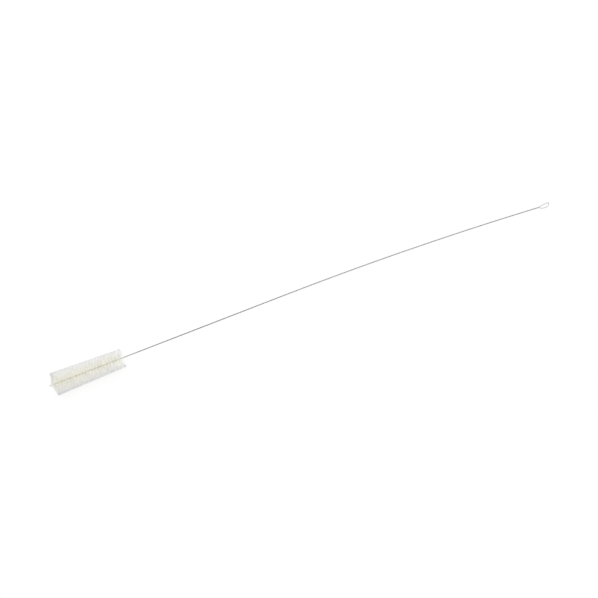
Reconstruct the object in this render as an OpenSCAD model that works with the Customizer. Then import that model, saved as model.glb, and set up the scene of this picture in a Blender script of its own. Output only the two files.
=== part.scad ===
// Test tube brush: one wire, folded to a flat eye and twisted left-handed, grips the bristles.
// It lies on its bristles and its stem on a flat surface at z = 0, tip at -X and eye at +X.

/* [Wire] */
// Diameter of the wire
wire_d = 1; // [0.8:0.05:1.2]
// Length of the twisted stem between the bristles and the eye
stem_length = 750; // [600:10:950]
// Length of twisted wire that stands out past the bristles at the tip
tip_stub = 3; // [3:0.1:12]
// Length of one full turn of the two legs round each other
twist_pitch = 11; // [9.5:0.1:16]

/* [Bristles] */
// Length of the wire that holds bristles
head_length = 126.5; // [60:0.5:165]
// Diameter across the bristles at the tip
head_d_tip = 41.5; // [30:0.5:60]
// Diameter across the bristles at the stem
head_d_stem = 32.5; // [24:0.5:60]
// Diameter of one filament
filament_d = 0.4; // [0.3:0.05:0.6]
// Gap between neighbouring filaments at the wire
filament_gap = 0.07; // [0.03:0.01:0.5]
// How far the lowest bristles are pressed up by the surface that they lie on
flat_spot = 0.3; // [0.1:0.1:1]

/* [Eye] */
// Length of the eye, from its last crossing to the outside of its bend
eye_length = 19; // [14:0.5:40]
// Width inside the eye at its widest
eye_gap = 5; // [4.5:0.1:14]
// Angle that the eye is cocked sideways from the stem
eye_cant = 5.5; // [-10:0.5:10]
// How far the middle of the eye is bowed sideways, away from the cant
eye_bow = 1.5; // [-2:0.1:2]

/* [Lie] */
// Length of stem behind the bristles that is straight, seen from above
straight_length = 292; // [50:1:300]
// Radius of the gentle sideways bow in the rest of the stem
bow_radius = 6200; // [2000:100:20000]
// Length of stem behind the bristles that is off the surface
lifted_length = 580; // [150:10:600]

/* [Hidden] */

wire_colour = [0.62, 0.63, 0.63];
bristle_colour = [0.91, 0.90, 0.85];
$fn = 24;

// the wire's section is a hexagon with the area of the round wire, one flat down
wire_sides = 6;
wire_flat = wire_d / 2 * sqrt(PI / (wire_sides * tan(180 / wire_sides)));
wire_corner = wire_flat / cos(180 / wire_sides);
stem_steps = stem_length / twist_pitch > 72 ? 5 : 6;   // rings of the wire in one turn of the stem
head_steps = head_length > 155 ? 7 : 8;                 // and where it grips the bristles
eye_steps = 28;
slack = 0.01;   // room left on each side where the legs touch each other or grip a filament
grip_run = 6;   // length over which the legs close up behind the bristles

// stations along the wire, measured from its cut end
head_end = tip_stub + head_length;
neck = head_end + stem_length;
bow_start = head_end + straight_length;

// distance of each leg from the twist's axis, closed along the stem and open over the bristles
closed_radius = (wire_corner + slack) / cos(180 / stem_steps);
grip_radius = (wire_corner + filament_d / 2 + slack) / cos(180 / head_steps);

// heights above the surface of the axis of the twist and of the wire in the eye, where they lie
stem_rest = closed_radius + wire_flat;
eye_rest = wire_flat;

function mix(a, b, t) = a + (b - a) * t;
function smooth(t) = t * t * (3 - 2 * t);
function clamp(t) = max(0, min(1, t));

function head_radius(s) = mix(head_d_tip, head_d_stem, clamp((s - tip_stub) / head_length)) / 2;
function grip(s) = smooth(clamp(min(s / tip_stub, (head_end + grip_run - s) / grip_run)));
function leg_radius(s) = mix(closed_radius, grip_radius, grip(s));

// angle of the first leg round the axis: it falls along the wire, which makes the twist left-handed
function leg_angle(s) = 90 + 360 * (neck - s) / twist_pitch;

// height of the axis: the tapered head lies along its side, and the stem droops to the surface
head_fall = (head_d_tip - head_d_stem) / 2 / head_length;
head_low = head_d_stem / 2 - flat_spot;
function droop(t) =
    head_low * (1 - smooth(t))
    + stem_rest * smooth(t)
    - head_fall * lifted_length * t * (1 - t) * (1 - t);
function height(s) = s < head_end
    ? head_low + head_fall * (head_end - s)
    : droop(clamp((s - head_end) / lifted_length));

// plan of the axis: straight through the head, then a shallow arc, turned so the ends lie on X
function bow_angle(s) = max(0, s - bow_start) / bow_radius * 180 / PI;
function plan(s) = let (a = bow_angle(s))
    [min(s, bow_start) + bow_radius * sin(a), -bow_radius * (1 - cos(a))];
function turned(p, a) = [p.x * cos(a) - p.y * sin(a), p.x * sin(a) + p.y * cos(a)];
eye_heading = eye_cant - bow_angle(neck);
eye_end = plan(neck) + turned([eye_length, 0], eye_heading);
overall = norm(eye_end);
lie_angle = -atan2(eye_end.y, eye_end.x);
head_middle = turned(plan(tip_stub), lie_angle).y;
function to_surface(p) = turned(p, lie_angle) - [overall / 2, head_middle];

function heading(s) = lie_angle - bow_angle(s);
function centre(s) = let (p = to_surface(plan(s))) [p.x, p.y, height(s)];
function fall(s) = atan(height(s) - height(s + 1));

// directions across the axis at a station: level, and upright
function level(s) = [-sin(heading(s)), cos(heading(s)), 0];
function upright(s) = let (h = heading(s), f = fall(s)) [cos(h) * sin(f), sin(h) * sin(f), cos(f)];
function spoke(s) = let (a = leg_angle(s)) level(s) * cos(a) + upright(s) * sin(a);

// one ring of the wire is [point on its centre line, direction up across it]
function leg_ring(s, side) = [centre(s) + side * leg_radius(s) * spoke(s), upright(s)];

// the eye: an oval that opens from the last crossing, where one leg lies over the other
eye_half = eye_gap / 2 + wire_flat;
eye_fullness = 1.16;
function eye_point(t) = let (
    along = (eye_length - wire_flat) * (1 - cos(t)) / 2,
    across = eye_half * eye_fullness * sin(t) * sqrt(sin(t / 2)) - eye_bow * pow(sin(t), 2),
    p = to_surface(plan(neck) + turned([along, across], eye_heading)),
    leg_height = stem_rest + (t < 180 ? 1 : -1) * closed_radius)
    [p.x, p.y, mix(eye_rest, leg_height, pow(cos(t / 2), 2))];

// the whole wire, from the cut end of one leg round the eye to the cut end of the other
stem_step = twist_pitch / stem_steps;
head_step = twist_pitch / head_steps;
leg_stations = [
    for (i = [0 : floor(stem_length / stem_step - 0.5)]) neck - i * stem_step,
    for (i = [0 : floor(head_end / head_step - 0.5)]) head_end - i * head_step,
    0
];
last = len(leg_stations) - 1;
rings = [
    for (i = [last : -1 : 0]) leg_ring(leg_stations[i], 1),
    for (i = [1 : eye_steps - 1]) [eye_point(360 * i / eye_steps), [0, 0, 1]],
    for (i = [0 : last]) leg_ring(leg_stations[i], -1)
];

function unit(v) = v / norm(v);
function ring_points(i) = let (
    along = unit(rings[min(i + 1, len(rings) - 1)][0] - rings[max(i - 1, 0)][0]),
    side = unit(cross(along, rings[i][1])),
    up = cross(side, along))
    [for (j = [0 : wire_sides - 1]) let (a = (j + 0.5) * 360 / wire_sides)
        rings[i][0] + wire_corner * (up * cos(a) + side * sin(a))];

// a closed skin over a list of rings of points
module skin(ring_list, sides) {
    count = len(ring_list);
    points = [for (ring = ring_list) each ring];
    walls = [
        for (i = [0 : count - 2], j = [0 : sides - 1])
            let (a = i * sides + j, b = i * sides + (j + 1) % sides)
                each [[a, a + sides, b], [b, a + sides, b + sides]]
    ];
    near = [[for (j = [0 : sides - 1]) j]];
    far = [[for (j = [sides - 1 : -1 : 0]) (count - 1) * sides + j]];
    polyhedron(points, concat(near, walls, far));
}

module wire() {
    color(wire_colour)
    skin([for (i = [0 : len(rings) - 1]) ring_points(i)], wire_sides);
}

// length of a filament's end that points in a direction, cut short where the surface presses it up
function reach(s, rise) = rise > -0.1
    ? head_radius(s)
    : min(head_radius(s), (height(s) - filament_d / 2 * sqrt(1 - rise * rise)) / -rise);

// a filament crosses the axis between the legs, so it lies square to the line that joins them
module filament(s) {
    angle = leg_angle(s) + 90;
    rise = sin(angle) * cos(fall(s));
    ahead = reach(s, rise);
    behind = reach(s, -rise);
    translate(centre(s))
    rotate([angle - 90, fall(s), heading(s)])
    translate([0, 0, -behind])
    cylinder(h = ahead + behind, d = filament_d);
}

module bristles() {
    step = filament_d + filament_gap;
    color(bristle_colour)
    for (i = [0 : floor((head_length - filament_d) / step)])
        filament(tip_stub + filament_d / 2 + i * step);
}

wire();
bristles();
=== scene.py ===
"""Looks of the test tube brush: round wire swept along the CAD axis, bristles, light and camera."""
import math

import bpy
import numpy as np
from mathutils import Matrix, Vector
from numpy.polynomial import Polynomial


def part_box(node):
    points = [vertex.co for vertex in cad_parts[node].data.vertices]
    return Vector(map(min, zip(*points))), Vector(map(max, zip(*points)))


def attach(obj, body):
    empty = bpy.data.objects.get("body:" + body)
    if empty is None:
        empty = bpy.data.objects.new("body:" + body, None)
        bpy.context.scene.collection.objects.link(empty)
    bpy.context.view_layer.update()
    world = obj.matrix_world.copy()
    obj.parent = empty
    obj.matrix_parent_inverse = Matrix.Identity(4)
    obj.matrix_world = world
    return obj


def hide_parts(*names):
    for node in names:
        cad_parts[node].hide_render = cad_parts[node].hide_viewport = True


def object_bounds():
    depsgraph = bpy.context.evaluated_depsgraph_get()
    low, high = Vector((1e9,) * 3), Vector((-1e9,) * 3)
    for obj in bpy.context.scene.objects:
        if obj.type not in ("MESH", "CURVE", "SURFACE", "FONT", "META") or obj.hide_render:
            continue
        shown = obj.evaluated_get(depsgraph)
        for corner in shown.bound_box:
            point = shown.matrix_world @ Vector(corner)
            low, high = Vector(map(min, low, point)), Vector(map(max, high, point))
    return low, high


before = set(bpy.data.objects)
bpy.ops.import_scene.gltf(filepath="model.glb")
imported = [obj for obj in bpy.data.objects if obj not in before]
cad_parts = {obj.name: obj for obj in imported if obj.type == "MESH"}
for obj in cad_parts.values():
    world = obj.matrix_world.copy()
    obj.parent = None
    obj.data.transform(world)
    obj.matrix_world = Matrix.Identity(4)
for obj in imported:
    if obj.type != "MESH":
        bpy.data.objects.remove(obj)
cad_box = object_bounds()

MM = 0.001

# the wire: its lengths are the CAD's, and stations along it are measured from its cut end
WIRE_D = 1.0 * MM
TIP_STUB = 3.0 * MM
HEAD_LENGTH = 126.5 * MM
STEM_LENGTH = 750.0 * MM
HEAD_PITCH = 11.0 * MM              # one full turn of the legs where they grip the bristles
STEM_TURNS = 125.18                 # turns of the legs along the stem, which is twisted tighter
GRIP_RUN = 6.0 * MM                 # length over which the legs close up behind the bristles
SLOT = 0.5 * MM                     # room between the legs that the bundle of bristles fills
EYE_LENGTH = 18.5 * MM              # from the last crossing to the middle of the wire at the bend
EYE_HALF_WIDTH = 2.98 * MM          # from the eye's middle to the middle of its wire
EYE_FULLNESS = 1.16                 # makes up for the teardrop's narrow start
EYE_CANT = math.radians(5.5)        # how far the eye is cocked from the stem
EYE_BOW = 1.5 * MM                  # how far the eye's middle is bowed sideways
WIRE_SIDES = 14
STEPS_PER_TURN = 16                 # rings of the wire in one turn of the twist
SHORTEST_STEP = 0.3 * MM            # least distance from the cut end to the ring before it
EYE_STEPS = 72

# the axis of the twist, found from the CAD wire
TWISTED_SHARE = 0.999               # share of the twisted length that is kept clear of the eye
AXIS_DEGREE = 9                     # of the curve fitted through the legs
AXIS_POINTS = 3000
AXIS_PROBE = 1.0 * MM               # distance each way that gives the axis its direction

# bristles
BRISTLE_D = 0.22 * MM
BRISTLES = 6000
BRISTLE_PIECES = 4
BRISTLE_SIDES = 4
HALF_STEPS = 4                      # lengths of tube from the wire to each tip
HEAD_D_TIP = 41.5 * MM
HEAD_D_STEM = 32.5 * MM
LEAN = math.radians(2.0)            # the bristles lean a little towards the handle
TIP_LEAN = math.radians(11.5)       # how much more they lean at the tip end of the head
STEM_LEAN = math.radians(14.0)      # and at its stem end
END_ZONE = 8.0 * MM                 # distance over which that fades
LEAN_AT_WIRE = 0.75                 # share of its lean that a bristle has where it leaves the wire
FRONT = 3.0 * MM                    # at the tip end, where no bristle strays outwards
LEAN_SPREAD = math.radians(4.4)
TUFT = 16                           # neighbouring bristles that stray together
TUFT_SPREAD = math.radians(1.5)
FAN_SPREAD = math.radians(16.0)     # how far the bristles of one side fan out around the wire
CURL_SPREAD = 0.5 * MM              # how far the tips curl sideways
RAGGED = 0.15 * MM                  # how much shorter than the trim some bristles are
THINNEST, THICKEST = 0.8, 1.15      # of a bristle, as shares of BRISTLE_D

HEAD_END = TIP_STUB + HEAD_LENGTH
ROOTS_START = TIP_STUB - 1.3 * MM   # the first bristles lean back over the start of their run
ROOTS_END = HEAD_END - 1.8 * MM     # and the last ones lean out over its end
NECK = HEAD_END + STEM_LENGTH
random = np.random.default_rng(7)

# steel: colours by place, from 0 to 1
STEEL_PATCH_SIZE = 7.0 * MM
STEEL_PATCHES = [(0.3, (0.46, 0.49, 0.48)), (0.7, (0.55, 0.58, 0.57))]
STEEL_COLOUR_ALONG_AND_PAINTED_LIGHT = [                      # from the bristles to the eye: darker near the bristles, lighter towards the eye, and painted light between the bristles, where the wire is warm and bright as if lit through them
    # painted light: the wire between the bristles is warm and bright, as if lit through them
    (0.0, (1.0, 0.95, 0.86)),
    (0.04, (0.61, 0.62, 0.62)),
    (0.18, (0.48, 0.49, 0.49)),
    (0.30, (0.52, 0.53, 0.53)),
    (0.42, (0.67, 0.67, 0.67)),
    (0.65, (0.71, 0.71, 0.71)),
]
STEEL_GRAIN_SIZE = 0.25 * MM
STEEL_GRAIN_DEPTH = 0.02 * MM
STEEL_GRAIN_STRENGTH = 0.35
STEEL_ROUGHNESS = [(0.3, (0.34, 0.34, 0.34)), (0.75, (0.52, 0.52, 0.52))]

# filament: nearly white, because light passes from bristle to bristle many times
BRISTLE_COLOUR_AND_PAINTED_SHADE = [                    # from the wire to the tip: near the wire a painted warm shade for the deep middle of the head, and at the cut tip a painted grey shade for the darker rim
    # painted warm shade: creamier near the wire, for the deep middle of the head
    (0.0, (1.0, 0.995, 0.972)),
    (0.12, (1.0, 0.9985, 0.982)),
    (0.84, (1.0, 0.999, 0.994)),
    # painted shade: grey at the cut tips, for the darker rim
    (0.92, (0.78, 0.783, 0.805)),
]
BRISTLE_TINT = [(0.0, (1.0, 0.998, 0.986)), (1.0, (1.0, 1.0, 1.0))]   # from bristle to bristle
BRISTLE_ROUGHNESS = 0.5
BRISTLE_SPECULAR = 0.02
LIGHT_BOUNCES = 64

# surroundings, in metres and watts
FLOOR_HALF = 4.0
FLOOR_LIGHTING = 0.9                # share of the light that the floor sends back to the brush
FLOOR_SEEN = 0.16                   # and to the camera, so that the shadow is faint
FLOOR_GLOW = 0.852                  # what brings the floor up to white in the picture
SKY_LIGHTING = 0.67
SKY_SEEN = 1.0
CAMERA_ROLL = math.radians(-20.12)
CAMERA_AIM = (0.0016, 0.0078)       # how far the brush is right of and above the picture's middle
PICTURE_WIDTH = 1.0116              # on the surface that the brush lies on
LENS = 200                          # millimetres, as is the sensor
SENSOR = 36


# ---------------------------------------------------------------- the axis of the brush
def wire_corners():
    """The corners of the CAD wire, in metres."""
    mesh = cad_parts["wire"].data
    corners = np.zeros(len(mesh.vertices) * 3)
    mesh.vertices.foreach_get("co", corners)
    return corners.reshape(-1, 3)


def unit(vectors):
    return vectors / np.linalg.norm(vectors, axis=-1, keepdims=True)


class Axis:
    """The line that the two legs are twisted about, by distance from the cut end of the wire.

    The legs lie opposite each other all along it, so a fit through their corners is the axis.
    """

    def __init__(self, corners):
        start = corners[:, 0].min()
        twisted = corners[corners[:, 0] < start + TWISTED_SHARE * NECK]
        across = Polynomial.fit(twisted[:, 0], twisted[:, 1], AXIS_DEGREE)
        height = Polynomial.fit(twisted[:, 0], twisted[:, 2], AXIS_DEGREE)
        x = np.linspace(start, start + NECK, AXIS_POINTS)
        self.points = np.column_stack([x, across(x), height(x)])
        steps = np.linalg.norm(np.diff(self.points, axis=0), axis=1)
        self.distance = np.concatenate([[0], np.cumsum(steps)])

    def at(self, s):
        return np.column_stack([np.interp(s, self.distance, self.points[:, i]) for i in range(3)])

    def directions(self, s):
        """Unit vectors along the axis, level across it and upright across it."""
        s = np.clip(s, AXIS_PROBE, NECK - AXIS_PROBE)
        along = unit(self.at(s + AXIS_PROBE) - self.at(s - AXIS_PROBE))
        level = unit(np.cross([0, 0, 1.0], along))
        return along, level, np.cross(along, level)


def smooth(t):
    t = np.clip(t, 0, 1)
    return t * t * (3 - 2 * t)


def leg_angle(s):
    """Angle of the first leg round the axis. It falls along the wire: the twist is left-handed."""
    stem_turns = STEM_TURNS * np.minimum(NECK - s, STEM_LENGTH) / STEM_LENGTH
    head_turns = np.maximum(HEAD_END - s, 0) / HEAD_PITCH
    return math.pi / 2 + 2 * math.pi * (stem_turns + head_turns)


def leg_radius(s):
    """Distance of each leg from the axis: touching along the stem, held apart by the bristles."""
    closed = WIRE_D / 2 / math.cos(math.pi / STEPS_PER_TURN)
    grip = smooth(np.minimum(s / TIP_STUB, (HEAD_END + GRIP_RUN - s) / GRIP_RUN))
    return closed + SLOT / 2 * grip


def spokes(axis, s):
    """Unit vectors from the axis to the first leg."""
    _, level, upright = axis.directions(s)
    angle = leg_angle(s)[:, None]
    return level * np.cos(angle) + upright * np.sin(angle)


# ---------------------------------------------------------------- meshes
def tubes(paths, ups, radii, sides):
    """Corners and four-cornered faces of open tubes, and the numbers of the corners in each ring.

    paths and ups, the direction up across each ring, are (tubes, rings, 3). radii is (tubes, rings).
    """
    count, rings, _ = paths.shape
    ahead = np.concatenate([paths[:, 1:], paths[:, -1:]], axis=1)
    behind = np.concatenate([paths[:, :1], paths[:, :-1]], axis=1)
    along = unit(ahead - behind)
    side = unit(np.cross(along, ups))
    up = np.cross(side, along)
    turn = 2 * math.pi * (np.arange(sides) + 0.5) / sides
    offset = up[:, :, None] * np.cos(turn)[:, None] + side[:, :, None] * np.sin(turn)[:, None]
    corners = (paths[:, :, None] + radii[:, :, None, None] * offset).reshape(-1, 3)
    number = np.arange(count * rings * sides).reshape(count, rings, sides)
    here, after = number[:, :-1], number[:, 1:]
    walls = np.stack([here, after, np.roll(after, -1, 2), np.roll(here, -1, 2)], axis=-1)
    return corners, walls.reshape(-1, 4), number


def new_piece(name, corners, faces, material):
    mesh = bpy.data.meshes.new(name)
    mesh.from_pydata(corners, [], faces)
    mesh.update()
    piece = bpy.data.objects.new(name, mesh)
    bpy.context.scene.collection.objects.link(piece)
    mesh.materials.append(material)
    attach(piece, "root")
    return piece


# ---------------------------------------------------------------- wire
def leg_path(axis, s, side):
    return axis.at(s) + side * leg_radius(s)[:, None] * spokes(axis, s)


def eye_path(axis):
    """The eye, an oval that opens from the legs' last crossing, where one lies over the other."""
    neck = axis.at(np.array([NECK]))[0]
    ahead = axis.directions(np.array([NECK]))[0][0]
    heading = math.atan2(ahead[1], ahead[0]) + EYE_CANT
    forward = np.array([math.cos(heading), math.sin(heading)])
    sideways = np.array([-forward[1], forward[0]])
    t = np.linspace(0, 2 * math.pi, EYE_STEPS + 1)[1:-1]
    beyond = EYE_LENGTH * (1 - np.cos(t)) / 2
    opening = EYE_HALF_WIDTH * EYE_FULLNESS * np.sin(t) * np.sqrt(np.sin(t / 2))
    across = opening - EYE_BOW * np.sin(t) ** 2
    plan = neck[:2] + np.outer(beyond, forward) + np.outer(across, sideways)
    leg = neck[2] + np.where(t < math.pi, 1, -1) * leg_radius(np.array([NECK]))[0]
    height = WIRE_D / 2 + (leg - WIRE_D / 2) * np.cos(t / 2) ** 2
    return np.column_stack([plan, height])


def leg_stations():
    """Where the wire's rings are along a leg, from the eye to the cut end."""
    stem = np.arange(NECK, HEAD_END, -STEM_LENGTH / STEM_TURNS / STEPS_PER_TURN)
    head = np.arange(HEAD_END, SHORTEST_STEP, -HEAD_PITCH / STEPS_PER_TURN)
    return np.concatenate([stem, head, [0]])


def make_wire(axis, material):
    """One wire, from the cut end of one leg round the eye to the cut end of the other."""
    s = leg_stations()
    upright = axis.directions(s)[2]
    eye = eye_path(axis)
    path = np.concatenate([leg_path(axis, s, 1)[::-1], eye, leg_path(axis, s, -1)])
    ups = np.concatenate([upright[::-1], np.tile([0, 0, 1.0], (len(eye), 1)), upright])
    radii = np.full((1, len(path)), WIRE_D / 2)
    corners, walls, number = tubes(path[None], ups[None], radii, WIRE_SIDES)
    faces = walls.tolist() + [number[0, 0].tolist(), number[0, -1][::-1].tolist()]
    wire = new_piece("twisted_wire", corners, faces, material)
    wire.data.shade_smooth()
    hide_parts("wire")


# ---------------------------------------------------------------- bristles
def head_radius(s):
    share = np.clip((s - TIP_STUB) / HEAD_LENGTH, 0, 1)
    return HEAD_D_TIP / 2 + (HEAD_D_STEM - HEAD_D_TIP) / 2 * share


def usual_lean(s):
    """Angle by which the bristles lean towards the handle: more towards both ends of the head."""
    tip_end = TIP_LEAN * np.exp((ROOTS_START - s) / END_ZONE)
    stem_end = STEM_LEAN * np.exp((s - ROOTS_END) / END_ZONE)
    return LEAN + (tip_end + stem_end)


def half_paths(axis, s, place, spoke, square, along):
    """Points of one half of each bristle, from the wire to the tip: (bristles, HALF_STEPS + 1, 3).

    place is where each bristle lies in the slot between the legs, along spoke. square points out
    of the slot, to the side where these halves stand.
    """
    count = len(s)
    fan = random.normal(0, FAN_SPREAD, count)
    tuft = np.repeat(random.normal(0, TUFT_SPREAD, -(-count // TUFT)), TUFT)[:count]
    stray = random.normal(0, LEAN_SPREAD, count) + tuft
    stray = np.where(s < TIP_STUB + FRONT, np.abs(stray), stray)
    lean = np.tan(usual_lean(s) + stray)
    bow = random.normal(0, CURL_SPREAD, count)
    out = square * np.cos(fan)[:, None] + spoke * np.sin(fan)[:, None]
    sideways = np.cross(along, out)
    gripped = WIRE_D                # the bristle is straight where the legs cover it
    tip = head_radius(s) - np.abs(random.normal(0, RAGGED, count))
    reach = gripped + (tip - gripped)[:, None] * np.linspace(0, 1, HALF_STEPS + 1)
    free = (reach - gripped) / (tip - gripped)[:, None]
    rise = reach * lean[:, None] * (LEAN_AT_WIRE + (1 - LEAN_AT_WIRE) * free)
    curl = bow[:, None] * free * free
    root = axis.at(s) + place[:, None] * spoke
    start = root[:, None] + square[:, None] * gripped
    return (start + out[:, None] * (reach - gripped)[:, :, None]
            + along[:, None] * rise[:, :, None] + sideways[:, None] * curl[:, :, None])


def make_bristles(axis, material):
    """Each bristle runs from tip to tip through the gap between the legs, which grip its middle."""
    turn_in_line = np.arange(BRISTLES) + random.uniform(0, 1, BRISTLES)
    s = ROOTS_START + (ROOTS_END - ROOTS_START) * turn_in_line / BRISTLES
    along = axis.directions(s)[0]
    spoke = spokes(axis, s)
    square = np.cross(along, spoke)
    place = random.uniform(-0.5, 0.5, BRISTLES) * (SLOT - BRISTLE_D)
    one = half_paths(axis, s, place, spoke, square, along)
    other = half_paths(axis, s, place, spoke, -square, along)
    paths = np.concatenate([one[:, ::-1], other], axis=1)
    paths[:, :, 2] = np.maximum(paths[:, :, 2], BRISTLE_D / 2)   # the surface presses the lowest up
    rings = paths.shape[1]
    tint = random.uniform(0, 1, BRISTLES)
    half = np.linspace(0, 1, HALF_STEPS + 1)
    away = np.tile(np.concatenate([half[::-1], half]), (BRISTLES, 1))
    size = BRISTLE_D / 2 * random.uniform(THINNEST, THICKEST, BRISTLES)
    radii = np.repeat(size[:, None], rings, axis=1)
    ups = np.repeat(along[:, None], rings, axis=1)
    for k in range(BRISTLE_PIECES):
        part = slice(k * BRISTLES // BRISTLE_PIECES, (k + 1) * BRISTLES // BRISTLE_PIECES)
        corners, walls, number = tubes(paths[part], ups[part], radii[part], BRISTLE_SIDES)
        ends = np.concatenate([number[:, 0], number[:, -1][:, ::-1]])
        faces = np.concatenate([walls, ends])
        piece = new_piece(f"bristles_{k + 1}", corners, faces, material)
        colours = np.ones((len(corners), 4), np.float32)   # red: way to the tip, green: tint
        colours[:, 0] = np.repeat(away[part].ravel(), BRISTLE_SIDES)
        colours[:, 1] = np.repeat(tint[part], rings * BRISTLE_SIDES)
        layer = piece.data.color_attributes.new("bristle", "FLOAT_COLOR", "POINT")
        layer.data.foreach_set("color", colours.ravel())
        if k == 0:
            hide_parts("bristles")


# ---------------------------------------------------------------- materials
def new_material(name):
    material = bpy.data.materials.new(name)
    material.use_nodes = True
    tree = material.node_tree
    return material, tree, tree.nodes["Principled BSDF"]


def add_ramp(tree, factor, stops):
    ramp = tree.nodes.new("ShaderNodeValToRGB")
    elements = ramp.color_ramp.elements
    while len(elements) < len(stops):
        elements.new(0.5)
    for element, (place, colour) in zip(elements, stops):
        element.position = place
        element.color = (*colour, 1)
    tree.links.new(factor, ramp.inputs["Fac"])
    return ramp.outputs["Color"]


def add_noise(tree, size, detail):
    """Noise whose features are about the given size, in metres."""
    place = tree.nodes.new("ShaderNodeTexCoord")
    noise = tree.nodes.new("ShaderNodeTexNoise")
    noise.inputs["Scale"].default_value = 1 / size
    noise.inputs["Detail"].default_value = detail
    tree.links.new(place.outputs["Object"], noise.inputs["Vector"])
    return noise.outputs["Fac"]


def multiply(tree, one, other):
    mix = tree.nodes.new("ShaderNodeMix")
    mix.data_type = "RGBA"
    mix.blend_type = "MULTIPLY"
    mix.inputs["Factor"].default_value = 1
    tree.links.new(one, mix.inputs["A"])
    tree.links.new(other, mix.inputs["B"])
    return mix.outputs["Result"]


def along_stem(tree):
    """0 at the bristles and 1 at the eye."""
    place = tree.nodes.new("ShaderNodeTexCoord")
    split = tree.nodes.new("ShaderNodeSeparateXYZ")
    tree.links.new(place.outputs["Object"], split.inputs["Vector"])
    share = tree.nodes.new("ShaderNodeMapRange")
    share.inputs["From Min"].default_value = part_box("bristles")[1][0]
    share.inputs["From Max"].default_value = cad_box[1][0]
    tree.links.new(split.outputs["X"], share.inputs["Value"])
    return share.outputs["Result"]


def steel_material():
    """Drawn steel wire with a dull, patchy skin, and painted light between the bristles, where it is
    warm and bright as if lit through them.
    """
    material, tree, shader = new_material("steel_wire")
    shader.inputs["Metallic"].default_value = 1
    patches = add_ramp(tree, add_noise(tree, STEEL_PATCH_SIZE, detail=3), STEEL_PATCHES)
    # darker near the bristles and lighter towards the eye, with painted light on the wire between the
    # bristles
    colour_along_and_painted_light = add_ramp(tree, along_stem(tree), STEEL_COLOUR_ALONG_AND_PAINTED_LIGHT)
    tree.links.new(multiply(tree, patches, colour_along_and_painted_light), shader.inputs["Base Color"])
    grain = add_noise(tree, STEEL_GRAIN_SIZE, detail=4)
    rough = add_ramp(tree, grain, STEEL_ROUGHNESS)
    tree.links.new(rough, shader.inputs["Roughness"])
    bump = tree.nodes.new("ShaderNodeBump")
    bump.inputs["Distance"].default_value = STEEL_GRAIN_DEPTH
    bump.inputs["Strength"].default_value = STEEL_GRAIN_STRENGTH
    tree.links.new(grain, bump.inputs["Height"])
    tree.links.new(bump.outputs["Normal"], shader.inputs["Normal"])
    return material


def bristle_material():
    """Pale filament, almost white further out, with painted shade: creamy near the wire and grey at
    its cut tips.
    """
    material, tree, shader = new_material("bristle")
    layer = tree.nodes.new("ShaderNodeAttribute")
    layer.attribute_name = "bristle"
    split = tree.nodes.new("ShaderNodeSeparateColor")
    tree.links.new(layer.outputs["Color"], split.inputs["Color"])
    # painted shade from the ramp: creamy near the wire and grey at the tips
    colour_and_painted_shade = add_ramp(tree, split.outputs["Red"], BRISTLE_COLOUR_AND_PAINTED_SHADE)
    tint = add_ramp(tree, split.outputs["Green"], BRISTLE_TINT)
    tree.links.new(multiply(tree, colour_and_painted_shade, tint), shader.inputs["Base Color"])
    shader.inputs["Roughness"].default_value = BRISTLE_ROUGHNESS
    shader.inputs["Specular IOR Level"].default_value = BRISTLE_SPECULAR
    return material


# ---------------------------------------------------------------- surroundings
def seen_directly(tree):
    """1 for rays that show the background: from the camera, in a reflection or through glass."""
    path = tree.nodes.new("ShaderNodeLightPath")
    total = path.outputs["Is Camera Ray"]
    for name in ("Is Glossy Ray", "Is Transmission Ray"):
        both = tree.nodes.new("ShaderNodeMath")
        both.operation = "MAXIMUM"
        tree.links.new(total, both.inputs[0])
        tree.links.new(path.outputs[name], both.inputs[1])
        total = both.outputs["Value"]
    return total


def by_seen(tree, seen, lighting, picture):
    """One value for the rays that light the brush and another for those that show the background."""
    choose = tree.nodes.new("ShaderNodeMapRange")
    choose.inputs["To Min"].default_value = lighting
    choose.inputs["To Max"].default_value = picture
    tree.links.new(seen, choose.inputs["Value"])
    return choose.outputs["Result"]


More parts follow.
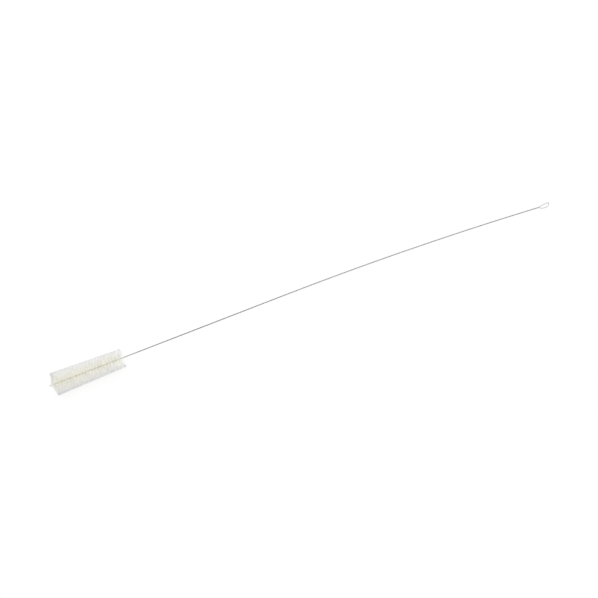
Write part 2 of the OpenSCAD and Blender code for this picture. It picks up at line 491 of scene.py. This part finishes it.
def make_floor():
    """The white surface that the brush lies on. It lights the brush, and keeps a faint shadow."""
    mesh = bpy.data.meshes.new("floor")
    corners = [(x * FLOOR_HALF, y * FLOOR_HALF, 0) for x, y in ((-1, -1), (1, -1), (1, 1), (-1, 1))]
    mesh.from_pydata(corners, [], [(0, 1, 2, 3)])
    floor = bpy.data.objects.new("floor", mesh)
    bpy.context.scene.collection.objects.link(floor)
    material = bpy.data.materials.new("floor")
    material.use_nodes = True
    tree = material.node_tree
    tree.nodes.clear()
    seen = seen_directly(tree)
    diffuse = tree.nodes.new("ShaderNodeBsdfDiffuse")
    tree.links.new(by_seen(tree, seen, FLOOR_LIGHTING, FLOOR_SEEN), diffuse.inputs["Color"])
    glow = tree.nodes.new("ShaderNodeEmission")
    tree.links.new(by_seen(tree, seen, 0, FLOOR_GLOW), glow.inputs["Strength"])
    add = tree.nodes.new("ShaderNodeAddShader")
    tree.links.new(diffuse.outputs["BSDF"], add.inputs[0])
    tree.links.new(glow.outputs["Emission"], add.inputs[1])
    output = tree.nodes.new("ShaderNodeOutputMaterial")
    tree.links.new(add.outputs["Shader"], output.inputs["Surface"])
    mesh.materials.append(material)


def make_world():
    world = bpy.data.worlds.new("studio")
    bpy.context.scene.world = world
    world.use_nodes = True
    tree = world.node_tree
    background = tree.nodes["Background"]
    background.inputs["Color"].default_value = (1, 1, 1, 1)
    strength = by_seen(tree, seen_directly(tree), SKY_LIGHTING, SKY_SEEN)
    tree.links.new(strength, background.inputs["Strength"])


def add_softbox(name, place, size, power):
    """A round lamp that points at the middle of the brush."""
    light = bpy.data.lights.new(name, "AREA")
    light.shape = "DISK"
    light.size = size
    light.energy = power
    box = bpy.data.objects.new(name, light)
    box.location = place
    box.rotation_euler = (Vector((0, 0, 0)) - Vector(place)).to_track_quat("-Z", "Y").to_euler()
    bpy.context.scene.collection.objects.link(box)


def make_camera():
    """Straight above the brush, rolled so that its length runs up to the right across the picture."""
    data = bpy.data.cameras.new("camera")
    data.lens = LENS
    data.sensor_width = SENSOR
    camera = bpy.data.objects.new("camera", data)
    turn = Matrix.Rotation(CAMERA_ROLL, 4, "Z")
    right, up = turn.col[0].to_3d(), turn.col[1].to_3d()
    above = Vector((0, 0, data.lens / data.sensor_width * PICTURE_WIDTH))
    place = above - right * CAMERA_AIM[0] - up * CAMERA_AIM[1]
    camera.matrix_world = Matrix.Translation(place) @ turn
    bpy.context.scene.collection.objects.link(camera)
    bpy.context.scene.camera = camera


make_camera()
axis = Axis(wire_corners())
make_wire(axis, steel_material())
make_bristles(axis, bristle_material())
make_floor()
make_world()
# the key stands towards +Y, so that side of the bristles is a little lighter than the other
add_softbox("key", place=(-0.2, 3.0, 5.2), size=6.0, power=134)
add_softbox("fill", place=(0, 0, 7.0), size=1.6, power=49)
bpy.context.scene.view_settings.view_transform = "Standard"
bpy.context.scene.cycles.max_bounces = LIGHT_BOUNCES
bpy.context.scene.cycles.diffuse_bounces = LIGHT_BOUNCES
